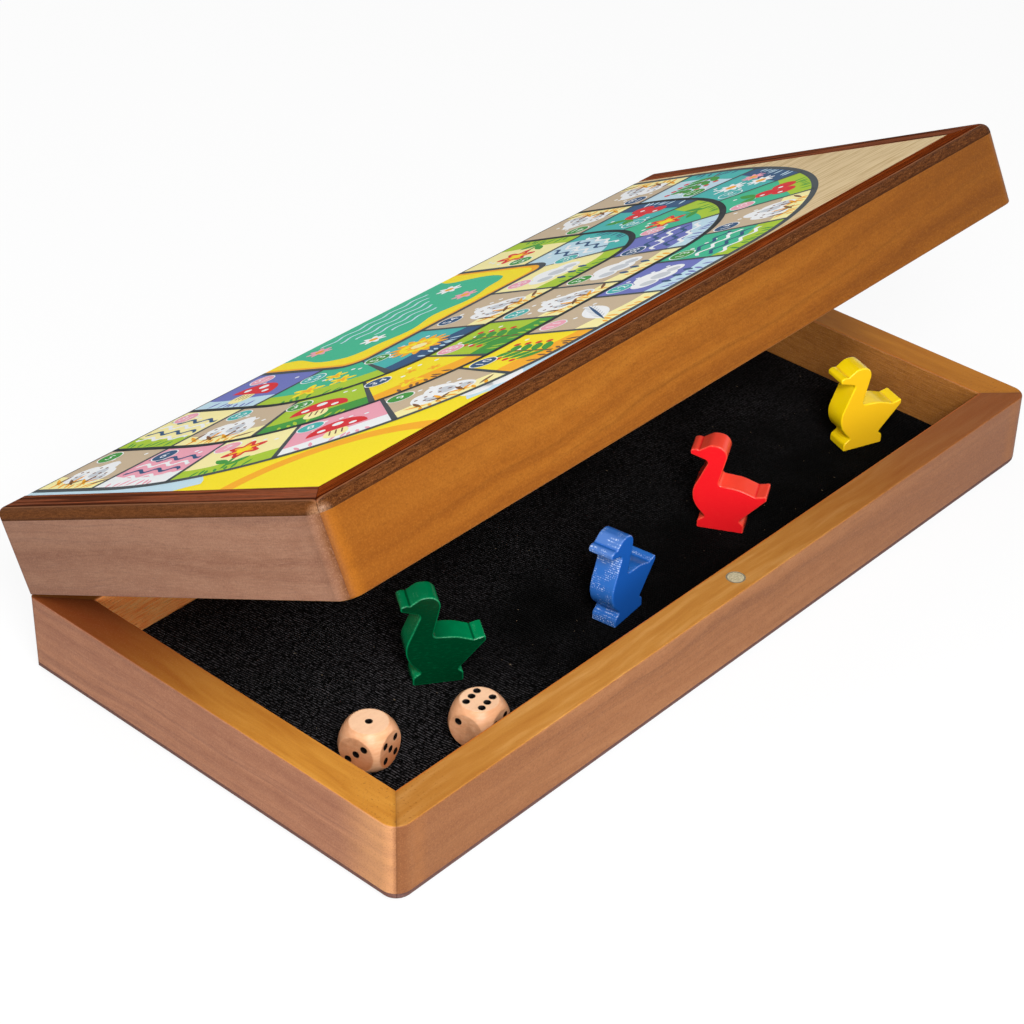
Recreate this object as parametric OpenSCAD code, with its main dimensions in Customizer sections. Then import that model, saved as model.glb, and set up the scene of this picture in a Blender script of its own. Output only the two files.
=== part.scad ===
// Folding wooden case for the game of the goose. Two shallow trays are joined by a pair of butt
// hinges, and their outer faces together make one square game board. Each tray is drawn with its
// board face down, its rim up and its hinge edge at +Y. The lid is the same tray turned over onto
// the first one and swung open about the hinge pins. Figures and dice stand on the cloth lining.

/* [Case] */
// Length of each half, along the hinge edge
case_l = 302; // [240:1:400]
// Depth of each half, from the hinge edge to the front
case_w = 150; // [120:1:220]
// Height of each half, from its board face to its rim
half_h = 27; // [24:0.5:40]
// Thickness of the front wall and of both side walls
wall_t = 12.2; // [9:0.1:14]
// Thickness of the wall that carries the hinges
hinge_wall_t = 15.5; // [15:0.5:22]
// Radius of the upright corners at the front
corner_r = 5.5; // [4:0.5:10]
// Radius of the upright corners at the hinge edge
hinge_corner_r = 1.5; // [0.5:0.1:3]
// Rounding of the rim's outer edge
rim_round = 0.6; // [0.2:0.1:1.2]
// Width of the chamfer along the rim's inner edge
rim_chamfer = 0.5; // [0.1:0.1:1]
// Angle to which the lid stands open
lid_open = 26.25; // [0:0.25:180]

/* [Board face] */
// Width of the frame strips round the print
frame_w = 10.9; // [7:0.1:13]
// Thickness of the frame strips and of the printed panel
frame_t = 3.3; // [3.2:0.1:6]
// Radius of the frame's rounded outer edge
frame_round = 3; // [1:0.1:3.2]
// Thickness of the board that backs the print between the walls
backing_t = 3.2; // [2:0.1:5]
// Thickness of the cloth lining
felt_t = 1.5; // [0.8:0.1:3]

/* [Magnet] */
// Diameter of the disc magnet in each front rim
magnet_d = 6; // [4:0.5:8]
// Thickness of the disc magnet
magnet_t = 3; // [1.5:0.5:5]
// Depth of the magnet's face below the rim
magnet_sink = 0.1; // [0.05:0.05:0.5]

/* [Hinges] */
// Length of a hinge
hinge_l = 32; // [24:1:50]
// Distance from the end of the case to the near end of a hinge
hinge_inset = 40; // [25:1:70]
// Width of a hinge leaf, from the back of the case inwards
leaf_w = 12; // [9:0.5:14]
// Thickness of a hinge leaf
leaf_t = 1; // [0.8:0.1:1.4]
// Outer radius of the knuckles
knuckle_r = 1.9; // [1.6:0.1:2.4]
// Radius of the hinge pin
pin_r = 0.9; // [0.6:0.05:1.1]
// Number of knuckles on a hinge
knuckle_count = 5; // [3:2:7]
// Diameter of a screw's countersunk head
screw_head_d = 3.8; // [3:0.1:4.4]
// Diameter of a screw's shank
screw_d = 2; // [1.6:0.1:2.4]
// Length of a screw
screw_l = 9; // [6:0.5:14]
// Distance from the end of a leaf to its outer screws
screw_inset = 5.5; // [4:0.5:8]

/* [Goose figures] */
// Height of a figure
goose_h = 31.5; // [28:0.5:36]
// Thickness of a figure
goose_t = 8.5; // [6:0.5:12]
// Length of the foot
foot_l = 15.1; // [13:0.1:18]
// Height of the foot
foot_h = 4.5; // [3.8:0.1:6]
// Length of the toe in front of the breast
toe_l = 2.4; // [2:0.1:3]
// Drop of the toe from the top of the foot
toe_drop = 1.6; // [1.4:0.1:2]
// Length of the heel behind the body
heel_l = 1.6; // [1.2:0.1:1.8]
// Drop of the heel from the top of the foot
heel_drop = 1.4; // [1:0.1:1.8]
// Reach of the breast's tangent corner from the foot's middle
breast_reach = 11; // [9.5:0.1:13]
// Height of the breast's tangent corner
breast_h = 11.1; // [10.5:0.1:13]
// Radius of the breast
breast_round = 8.5; // [6:0.5:9]
// Reach of the throat from the foot's middle
throat_reach = 5.1; // [4.8:0.1:5.6]
// Drop of the throat from the crown
throat_drop = 6.1; // [5.6:0.1:6.6]
// Reach of the beak from the foot's middle
beak_reach = 11.1; // [10:0.1:14]
// Drop of the beak's lower edge from the crown
beak_drop = 4.2; // [4:0.1:4.6]
// Height of the beak's tip
beak_t = 1.4; // [1.3:0.1:1.8]
// Length of the beak from its tip to the brow
beak_l = 3.3; // [3:0.1:3.6]
// Drop of the brow from the crown
brow_drop = 1.7; // [1.5:0.1:2]
// Reach of the crown's front corner from the foot's middle
crown_reach = 5.1; // [5:0.1:5.6]
// Distance of the crown's back corner behind the foot's middle
crown_back = 1.5; // [1.2:0.1:2]
// Radius of the crown's front corner
crown_round = 3; // [2:0.1:3.1]
// Radius of the back of the head
nape_round = 3.6; // [3.2:0.1:4]
// Reach of the neck's root from the foot's middle
neck_reach = 1.7; // [1.4:0.1:2.2]
// Height of the back where the neck begins
back_h = 17; // [16:0.1:19]
// Distance of the middle of the back behind the foot's middle
back_reach = 5.3; // [4.8:0.1:5.8]
// Sag of the back at its middle
back_sag = 0.5; // [0.3:0.1:0.8]
// Radius of the hollow of the back
back_round = 12; // [8:0.5:13]
// Reach of the tail from the foot's middle
tail_reach = 14.1; // [12:0.1:18]
// Height of the tail's tip
tail_h = 15.4; // [13:0.1:16]
// Length of the raised tip of the tail
tail_l = 3.7; // [3.4:0.1:4.4]
// Rise of the tail's tip above the back
tail_rise = 0.5; // [0.3:0.1:0.8]
// Height of the tail's end face
tail_t = 1.7; // [1.6:0.1:2.2]
// Radius of the small rounded corners
tip_round = 0.6; // [0.4:0.1:0.7]

/* [Dice] */
// Width of a die across its flats
die_w = 14; // [12:0.5:17]
// Diameter of the ball that rounds a die's corners
die_ball_d = 18; // [17.5:0.1:19]
// Diameter of a pip
pip_d = 2.1; // [1.6:0.1:2.4]
// Depth of a pip
pip_depth = 0.4; // [0.2:0.1:0.6]
// Distance of the corner pips from the middle of a face, each way
pip_step = 2.6; // [2:0.1:3]
// Distance between neighbouring pips in the rows of the six
pip_row_step = 2.9; // [2.4:0.1:3.2]

/* [Layout on the cloth] */
// Distance of the green figure from the left wall
green_from_left = 60.5; // [56:0.1:70]
// Distance of the green figure from the front wall
green_from_front = 42.9; // [38:0.1:70]
// Angle by which the green figure is turned on the cloth
green_angle = -35; // [-180:1:180]
// Distance of the blue figure from the left wall
blue_from_left = 120.9; // [100:0.1:130]
// Distance of the blue figure from the front wall
blue_from_front = 24.2; // [20:0.1:70]
// Angle by which the blue figure is turned on the cloth
blue_angle = 7; // [-180:1:180]
// Distance of the red figure from the right wall
red_from_right = 97.1; // [80:0.1:110]
// Distance of the red figure from the front wall
red_from_front = 30.5; // [25:0.1:70]
// Angle by which the red figure is turned on the cloth
red_angle = -62; // [-180:1:180]
// Distance of the yellow figure from the right wall
yellow_from_right = 27.3; // [22:0.1:60]
// Distance of the yellow figure from the front wall
yellow_from_front = 28.3; // [24:0.1:70]
// Angle by which the yellow figure is turned on the cloth
yellow_angle = -21; // [-180:1:180]
// Distance of the left die from the left wall
left_die_from_left = 19.6; // [15:0.1:28]
// Distance of the left die from the front wall
left_die_from_front = 29.6; // [20:0.1:70]
// Angle by which the left die is turned on the cloth
left_die_angle = 13; // [-180:1:180]
// Distance of the right die from the left wall
right_die_from_left = 48; // [42:0.1:70]
// Distance of the right die from the front wall
right_die_from_front = 14; // [12:0.1:18]
// Angle by which the right die is turned on the cloth
right_die_angle = 11; // [-180:1:180]

/* [Fits] */
// Gap between the two rims when the case is shut
rim_gap = 0.2; // [0.1:0.05:0.5]
// Gap between the hinge walls when the case lies open flat
flat_gap = 0.3; // [0.1:0.05:0.6]
// Gap round the printed panel and the backing board
panel_gap = 0.05; // [0.02:0.01:0.3]
// Gap between the cloth lining and the walls
felt_gap = 0.3; // [0.1:0.1:1]
// Gap round a hinge leaf in its recess
leaf_gap = 0.1; // [0.05:0.05:0.3]
// Gap between neighbouring knuckles, and between a knuckle and the wood
knuckle_gap = 0.3; // [0.2:0.05:0.5]
// Radial play of a pin in the knuckles that turn on it
pin_play = 0.05; // [0.01:0.01:0.1]
// Radial play of a pin in the knuckles that hold it
pin_hold = 0.02; // [0.01:0.01:0.05]
// Gap round a magnet or a screw in its hole
seat_gap = 0.05; // [0.02:0.01:0.1]

/* [Hidden] */
$fn = 64;
// Allowance by which a cut runs past the face it opens
past = 1;
// Angle between the points of a rounded corner
arc_step = 10;

// Hinge axis in the frame of a tray
hinge_y = case_w / 2 + flat_gap / 2;
hinge_z = half_h + rim_gap / 2;
hinge_places = [for (side = [-1, 1]) side * (case_l / 2 - hinge_inset - hinge_l / 2)];
knuckle_l = hinge_l / knuckle_count;
screw_y = case_w / 2 - (leaf_w + knuckle_r) / 2;
screw_places = [for (step = [-1, 0, 1]) step * (hinge_l / 2 - screw_inset)];
screw_tip_l = screw_d;
screw_slot_w = screw_head_d / 8;
screw_slot_depth = leaf_t / 3;

// Inside of a tray
felt_top = frame_t + backing_t + felt_t;
tray_left = -case_l / 2 + wall_t;
tray_right = case_l / 2 - wall_t;
tray_front = -case_w / 2 + wall_t;
tray_back = case_w / 2 - hinge_wall_t;

// Pieces on the cloth: x, y and turn
green_place = [tray_left + green_from_left, tray_front + green_from_front, green_angle];
blue_place = [tray_left + blue_from_left, tray_front + blue_from_front, blue_angle];
red_place = [tray_right - red_from_right, tray_front + red_from_front, red_angle];
yellow_place = [tray_right - yellow_from_right, tray_front + yellow_from_front, yellow_angle];
left_die_place = [tray_left + left_die_from_left, tray_front + left_die_from_front, left_die_angle];
right_die_place = [tray_left + right_die_from_left, tray_front + right_die_from_front, right_die_angle];

case_color = "sienna";
frame_color = [0.35, 0.17, 0.09];
print_color = "khaki";
backing_color = "burlywood";
felt_color = [0.07, 0.07, 0.07];
brass_color = [0.78, 0.62, 0.3];
steel_color = "silver";
die_color = [0.93, 0.76, 0.58];

// Section across an outer edge: the board face at the bottom has the frame's round, the rim at the
// top has its own small round, and the outer face stands at x = reach
module edge_section(reach) {
    intersection() {
        square([reach, half_h]);
        union() {
            square([reach - frame_round, half_h]);
            translate([0, frame_round]) square([reach, half_h - frame_round - rim_round]);
            translate([0, frame_round]) square([reach - rim_round, half_h - frame_round]);
            translate([reach - frame_round, frame_round]) circle(frame_round);
            translate([reach - rim_round, half_h - rim_round]) circle(rim_round);
        }
    }
}

// Plan of a half, square but for the small corner rounds at the hinge edge
module hinge_edge_plan() {
    translate([-case_l / 2, -case_w / 2]) square([case_l, case_w - hinge_corner_r]);
    translate([-case_l / 2 + hinge_corner_r, 0]) square([case_l - 2 * hinge_corner_r, case_w / 2]);
    for (side = [-1, 1])
        translate([side * (case_l / 2 - hinge_corner_r), case_w / 2 - hinge_corner_r])
            circle(hinge_corner_r);
}

// Solid outline of a half, with its rounded edges carried round the front corners
module half_blank() {
    straight_l = case_l - 2 * corner_r;
    side_l = case_w - corner_r;
    intersection() {
        linear_extrude(half_h) hinge_edge_plan();
        union() {
            translate([-straight_l / 2, case_w / 2, 0])
                rotate([90, 0, 90]) mirror([1, 0, 0]) linear_extrude(straight_l) edge_section(case_w);
            for (side = [0, 1]) mirror([side, 0, 0]) {
                translate([case_l / 2 - corner_r, case_w / 2, 0])
                    rotate([90, 0, 0]) linear_extrude(side_l) edge_section(corner_r);
                translate([case_l / 2 - corner_r, -case_w / 2 + corner_r, 0])
                    rotate([0, 0, -90]) rotate_extrude(angle = 90) edge_section(corner_r);
            }
        }
    }
}

// Part of the blank between two heights, above a plan given by its corner points
module slice_of_blank(plan, low, high) {
    intersection() {
        half_blank();
        translate([0, 0, low]) linear_extrude(high - low) polygon(plan);
    }
}

// Plan of a strip along the front, mitred at both ends
function front_plan(w) = [
    [-case_l / 2, -case_w / 2],
    [case_l / 2, -case_w / 2],
    [case_l / 2 - w, -case_w / 2 + w],
    [-case_l / 2 + w, -case_w / 2 + w]
];

// Plan of a strip along the left, mitred at the front and meeting a strip of depth back_w behind
function left_plan(w, back_w) = [
    [-case_l / 2, -case_w / 2],
    [-case_l / 2 + w, -case_w / 2 + w],
    [-case_l / 2 + w, case_w / 2 - back_w],
    [-case_l / 2, case_w / 2]
];

hinge_wall_plan = [
    [-case_l / 2, case_w / 2],
    [case_l / 2, case_w / 2],
    [tray_right, tray_back],
    [tray_left, tray_back]
];

// Square bar that chamfers a rim edge running along X through the point y
module rim_bar_x(y) {
    translate([0, y, half_h]) rotate([45, 0, 0])
        cube([case_l, rim_chamfer * sqrt(2), rim_chamfer * sqrt(2)], center = true);
}

// Square bar that chamfers a rim edge running along Y through the point x
module rim_bar_y(x) {
    translate([x, 0, half_h]) rotate([0, 45, 0])
        cube([rim_chamfer * sqrt(2), case_w, rim_chamfer * sqrt(2)], center = true);
}

module front_wall() {
    difference() {
        slice_of_blank(front_plan(wall_t), frame_t, half_h);
        rim_bar_x(tray_front);
        at_magnet() cylinder(h = magnet_t + magnet_sink + past, d = magnet_d + 2 * seat_gap);
    }
}

module left_wall() {
    difference() {
        slice_of_blank(left_plan(wall_t, hinge_wall_t), frame_t, half_h);
        rim_bar_y(tray_left);
    }
}

module right_wall() {
    mirror([1, 0, 0]) left_wall();
}

// Wall at the hinge edge, recessed for the leaves and knuckles and bored for the screws
module hinge_wall() {
    recess_l = hinge_l + 2 * leaf_gap;
    recess_w = leaf_w + leaf_gap;
    difference() {
        slice_of_blank(hinge_wall_plan, frame_t, half_h);
        rim_bar_x(tray_back);
        for (x = hinge_places) {
            translate([x - recess_l / 2, case_w / 2 - recess_w, half_h - leaf_t])
                cube([recess_l, recess_w + past, leaf_t + past]);
            along_hinge(x - recess_l / 2, recess_l, knuckle_r + knuckle_gap);
        }
        at_screws() screw_body(seat_gap);
    }
}

module frame_front() {
    slice_of_blank(front_plan(frame_w), 0, frame_t);
}

module frame_left() {
    slice_of_blank(left_plan(frame_w, 0), 0, frame_t);
}

module frame_right() {
    mirror([1, 0, 0]) frame_left();
}

// Panel that carries the print, framed on three sides and open to the hinge edge
module print_panel() {
    panel_l = case_l - 2 * (frame_w + panel_gap);
    panel_w = case_w - frame_w - panel_gap;
    translate([-panel_l / 2, case_w / 2 - panel_w, 0]) cube([panel_l, panel_w, frame_t]);
}

// Slab that fills the tray between its walls, less a gap all round
module tray_slab(low, thickness, gap) {
    translate([tray_left + gap, tray_front + gap, low])
        cube([tray_right - tray_left - 2 * gap, tray_back - tray_front - 2 * gap, thickness]);
}

module backing_board() {
    tray_slab(frame_t, backing_t, panel_gap);
}

module felt() {
    tray_slab(frame_t + backing_t, felt_t, felt_gap);
}

module at_magnet() {
    translate([0, -case_w / 2 + wall_t / 2, half_h - magnet_t - magnet_sink]) children();
}

module magnet() {
    at_magnet() cylinder(h = magnet_t, d = magnet_d);
}

// Round bar on the hinge axis, from x over a length
module along_hinge(x, length, radius) {
    translate([x, hinge_y, hinge_z]) rotate([0, 90, 0]) cylinder(h = length, r = radius);
}

// One leaf at x with every second knuckle, starting with the knuckle called first
module leaf(x, first, play) {
    start = x - hinge_l / 2;
    difference() {
        union() {
            difference() {
                translate([start, case_w / 2 - leaf_w, half_h - leaf_t]) cube([hinge_l, leaf_w, leaf_t]);
                for (k = [1 - first : 2 : knuckle_count - 1])
                    along_hinge(
                        start + k * knuckle_l - knuckle_gap / 2,
                        knuckle_l + knuckle_gap,
                        knuckle_r + knuckle_gap
                    );
            }
            for (k = [first : 2 : knuckle_count - 1])
                along_hinge(start + k * knuckle_l + knuckle_gap / 2, knuckle_l - knuckle_gap, knuckle_r);
        }
        along_hinge(start - past, hinge_l + 2 * past, pin_r + play);
        at_screws() screw_body(seat_gap);
    }
}

module at_screws() {
    for (x = hinge_places, step = screw_places)
        translate([x + step, screw_y, half_h]) children();
}

// Turned shape of a countersunk screw under z = 0, grown by a gap to make its hole
module screw_body(gap) {
    rotate_extrude() polygon([
        [0, 0],
        [screw_head_d / 2 + gap, 0],
        [screw_d / 2 + gap, -(screw_head_d - screw_d) / 2],
        [screw_d / 2 + gap, -screw_l + screw_tip_l],
        [0, -screw_l - gap]
    ]);
}

module screw() {
    difference() {
        screw_body(0);
        translate([-screw_head_d, -screw_slot_w / 2, -screw_slot_depth])
            cube([2 * screw_head_d, screw_slot_w, screw_slot_depth + past]);
    }
}

// Turns a tray over onto the other one and swings it open about the hinge axis
module as_lid() {
    translate([0, hinge_y, hinge_z]) rotate([-lid_open, 0, 0])
        translate([0, -hinge_y, hinge_z]) mirror([0, 0, 1]) children();
}

// Arc that rounds the corner b of the path a, b, c with radius r
function corner_arc(a, b, c, r) =
    let (
        to_a = (a - b) / norm(a - b),
        to_c = (c - b) / norm(c - b),
        half_angle = acos(to_a * to_c) / 2,
        centre = b + (to_a + to_c) / norm(to_a + to_c) * r / sin(half_angle),
        from = b + to_a * r / tan(half_angle) - centre,
        to = b + to_c * r / tan(half_angle) - centre,
        sweep = sign(from[0] * to[1] - from[1] * to[0]) * (180 - 2 * half_angle),
        start = atan2(from[1], from[0]),
        steps = max(3, round(abs(sweep) / arc_step))
    )
    [for (i = [0 : steps]) centre + r * [cos(start + sweep * i / steps), sin(start + sweep * i / steps)]];

// Closed outline through corners given as x, height and rounding radius
function rounded_outline(corners) =
    let (count = len(corners), point = [for (c = corners) [c[0], c[1]]])
    [for (i = [0 : count - 1])
        each corner_arc(
            point[(i + count - 1) % count], point[i], point[(i + 1) % count], corners[i][2]
        )
    ];

// Side view of a goose, beak to the left, with the middle of its foot at the origin
goose_corners = [
    [-foot_l / 2, 0, tip_round],
    [-foot_l / 2, foot_h - toe_drop, toe_drop],
    [-foot_l / 2 + toe_l, foot_h, tip_round],
    [-breast_reach, breast_h, breast_round],
    [-throat_reach, goose_h - throat_drop, 2 * tip_round],
    [-beak_reach, goose_h - beak_drop, tip_round],
    [-beak_reach, goose_h - beak_drop + beak_t, tip_round],
    [-beak_reach + beak_l, goose_h - brow_drop, tip_round],
    [-crown_reach, goose_h, crown_round],
    [crown_back, goose_h, nape_round],
    [-neck_reach, back_h, 2 * tip_round],
    [back_reach, back_h - back_sag, back_round],
    [tail_reach - tail_l, tail_h - tail_rise, 2 * tip_round],
    [tail_reach, tail_h, tip_round],
    [tail_reach, tail_h - tail_t, tip_round],
    [foot_l / 2 - heel_l, foot_h, tip_round],
    [foot_l / 2, foot_h - heel_drop, 2 * tip_round],
    [foot_l / 2, 0, tip_round]
];

module goose(place) {
    translate([place[0], place[1], felt_top]) rotate([90, 0, place[2]])
        linear_extrude(goose_t, center = true) polygon(rounded_outline(goose_corners));
}

// Places of the pips on a face, by its number
function pip_places(number) =
    number == 1 ? [[0, 0]] :
    number == 2 ? [[-pip_step, pip_step], [pip_step, -pip_step]] :
    number == 4 ? [for (x = [-pip_step, pip_step], y = [-pip_step, pip_step]) [x, y]] :
    number == 6 ? [for (x = [-pip_step, pip_step], y = [-1, 0, 1]) [x, y * pip_row_step]] :
    concat(pip_places(number - 1), [[0, 0]]);

// Turn that brings the upper face to the face of each number, from one to six
pip_turns = [[0, 0, 0], [-90, 0, 0], [0, -90, 0], [0, 90, 0], [90, 0, 0], [180, 0, 0]];

// Die with the one on top, its pips hollowed by balls that leave rims of the pip's diameter
module die() {
    pip_ball_r = (pip_d * pip_d / 4 + pip_depth * pip_depth) / (2 * pip_depth);
    difference() {
        intersection() {
            cube(die_w, center = true);
            sphere(d = die_ball_d);
        }
        for (number = [1 : 6], spot = pip_places(number))
            rotate(pip_turns[number - 1])
                translate([spot[0], spot[1], die_w / 2 - pip_depth + pip_ball_r]) sphere(pip_ball_r);
    }
}

module on_felt(place) {
    translate([place[0], place[1], felt_top + die_w / 2]) rotate([0, 0, place[2]]) children();
}

module base_front_wall() { color(case_color) front_wall(); }
module base_hinge_wall() { color(case_color) hinge_wall(); }
module base_left_wall() { color(case_color) left_wall(); }
module base_right_wall() { color(case_color) right_wall(); }
module base_frame_front() { color(frame_color) frame_front(); }
module base_frame_left() { color(frame_color) frame_left(); }
module base_frame_right() { color(frame_color) frame_right(); }
module base_print_panel() { color(print_color) print_panel(); }
module base_backing_board() { color(backing_color) backing_board(); }
module base_felt() { color(felt_color) felt(); }
module base_magnet() { color(steel_color) magnet(); }
module base_leaf_left() { color(brass_color) leaf(hinge_places[0], 0, pin_hold); }
module base_leaf_right() { color(brass_color) leaf(hinge_places[1], 0, pin_hold); }
module base_screws() { color(brass_color) at_screws() screw(); }
module hinge_pins() {
    color(steel_color) for (x = hinge_places) along_hinge(x - hinge_l / 2, hinge_l, pin_r);
}

module lid_front_wall() { color(case_color) as_lid() front_wall(); }
module lid_hinge_wall() { color(case_color) as_lid() hinge_wall(); }
module lid_left_wall() { color(case_color) as_lid() left_wall(); }
module lid_right_wall() { color(case_color) as_lid() right_wall(); }
module lid_frame_front() { color(frame_color) as_lid() frame_front(); }
module lid_frame_left() { color(frame_color) as_lid() frame_left(); }
module lid_frame_right() { color(frame_color) as_lid() frame_right(); }
module lid_print_panel() { color(print_color) as_lid() print_panel(); }
module lid_backing_board() { color(backing_color) as_lid() backing_board(); }
module lid_felt() { color(felt_color) as_lid() felt(); }
module lid_magnet() { color(steel_color) as_lid() magnet(); }
module lid_leaf_left() { color(brass_color) as_lid() leaf(hinge_places[0], 1, pin_play); }
module lid_leaf_right() { color(brass_color) as_lid() leaf(hinge_places[1], 1, pin_play); }
module lid_screws() { color(brass_color) as_lid() at_screws() screw(); }

module goose_green() { color("darkgreen") goose(green_place); }
module goose_blue() { color("royalblue") goose(blue_place); }
module goose_red() { color("red") goose(red_place); }
module goose_yellow() { color("gold") goose(yellow_place); }
module die_left() { color(die_color) on_felt(left_die_place) die(); }
module die_right() { color(die_color) on_felt(right_die_place) rotate(180, [1, -1, 0]) die(); }

base_front_wall();
base_hinge_wall();
base_left_wall();
base_right_wall();
base_frame_front();
base_frame_left();
base_frame_right();
base_print_panel();
base_backing_board();
base_felt();
base_magnet();
base_leaf_left();
base_leaf_right();
base_screws();
hinge_pins();
lid_front_wall();
lid_hinge_wall();
lid_left_wall();
lid_right_wall();
lid_frame_front();
lid_frame_left();
lid_frame_right();
lid_print_panel();
lid_backing_board();
lid_felt();
lid_magnet();
lid_leaf_left();
lid_leaf_right();
lid_screws();
goose_green();
goose_blue();
goose_red();
goose_yellow();
die_left();
die_right();
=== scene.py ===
import math

import bmesh
import bpy
import numpy as np
from mathutils import Matrix


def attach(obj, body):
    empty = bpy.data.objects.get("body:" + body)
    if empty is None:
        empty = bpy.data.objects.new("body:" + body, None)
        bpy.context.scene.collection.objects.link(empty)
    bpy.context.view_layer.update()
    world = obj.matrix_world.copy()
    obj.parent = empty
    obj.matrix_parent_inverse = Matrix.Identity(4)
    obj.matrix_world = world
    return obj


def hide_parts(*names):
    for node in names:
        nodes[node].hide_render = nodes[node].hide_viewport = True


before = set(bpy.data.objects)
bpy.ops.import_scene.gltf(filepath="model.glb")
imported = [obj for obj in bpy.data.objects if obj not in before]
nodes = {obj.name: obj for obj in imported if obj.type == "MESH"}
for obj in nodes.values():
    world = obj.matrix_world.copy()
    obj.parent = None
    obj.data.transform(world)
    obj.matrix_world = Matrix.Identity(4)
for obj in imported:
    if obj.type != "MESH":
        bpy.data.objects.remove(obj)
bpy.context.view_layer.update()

# Sizes of the case in millimetres, as in the part's source. A tray is described with its board face at
# z = 0, its rim up and its hinge edge at +y; the lid is such a tray turned over and swung open.
MM = 0.001
CASE_L, CASE_W, HALF_H = 302.0, 150.0, 27.0
WALL_T, HINGE_WALL_T = 12.2, 15.5
FRAME_W, FRAME_T = 10.9, 3.3
PANEL_GAP, FELT_GAP = 0.05, 0.3
FELT_LOW, FELT_TOP = 6.5, 8.0
HINGE_Y, HINGE_Z = 75.15, 27.1
LID_OPEN = math.radians(26.25)
GOOSE_T, GOOSE_EDGE, GOOSE_BACK_H = 8.5, 0.5, 16.5
BROW, TAIL_CREASE = (-8.4, 29.2), (10.5, 14.6)
DIE_W, DIE_BALL_D = 14.0, 18.0
DIE_TOP, BETWEEN_DICE = FELT_TOP + DIE_W, (-112.0, -98.0)
PIP_D, PIP_DEPTH, PIP_STEP, PIP_ROW_STEP = 2.1, 0.4, 2.6, 2.9


def srgb(*levels):
    """Linear colour of 0 to 255 screen levels, by the usual screen curve."""
    c = np.array(levels) / 255
    return (*np.where(c <= 0.04045, c / 12.92, ((c + 0.055) / 1.055) ** 2.4).tolist(), 1.0)


def palette(*tones):
    return [srgb(*tone) for tone in tones]


def in_lid(points):
    """Tray points moved to the open lid: mirrored in height about the hinge axis, then turned about it by the opening
    angle."""
    x, y, z = points.T
    back, up = y - HINGE_Y, HINGE_Z - z
    c, s = math.cos(LID_OPEN), math.sin(LID_OPEN)
    return np.stack([x, HINGE_Y + back * c + up * s, HINGE_Z - back * s + up * c], -1)


class Socket:
    """A shader socket that can stand in a Python sum: each operator adds one Math node."""

    def __init__(self, finish, link):
        self.finish, self.link = finish, link

    def math(self, operation, other=0.0, swap=False):
        first, second = (other, self) if swap else (self, other)
        return self.finish.node("Math", {"operation": operation}, {0: first, 1: second})

    def __add__(self, other):
        return self.math("ADD", other)

    def __sub__(self, other):
        return self.math("SUBTRACT", other)

    def __rsub__(self, other):
        return self.math("SUBTRACT", other, True)

    def __mul__(self, other):
        return self.math("MULTIPLY", other)

    def __abs__(self):
        return self.math("ABSOLUTE")


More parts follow.
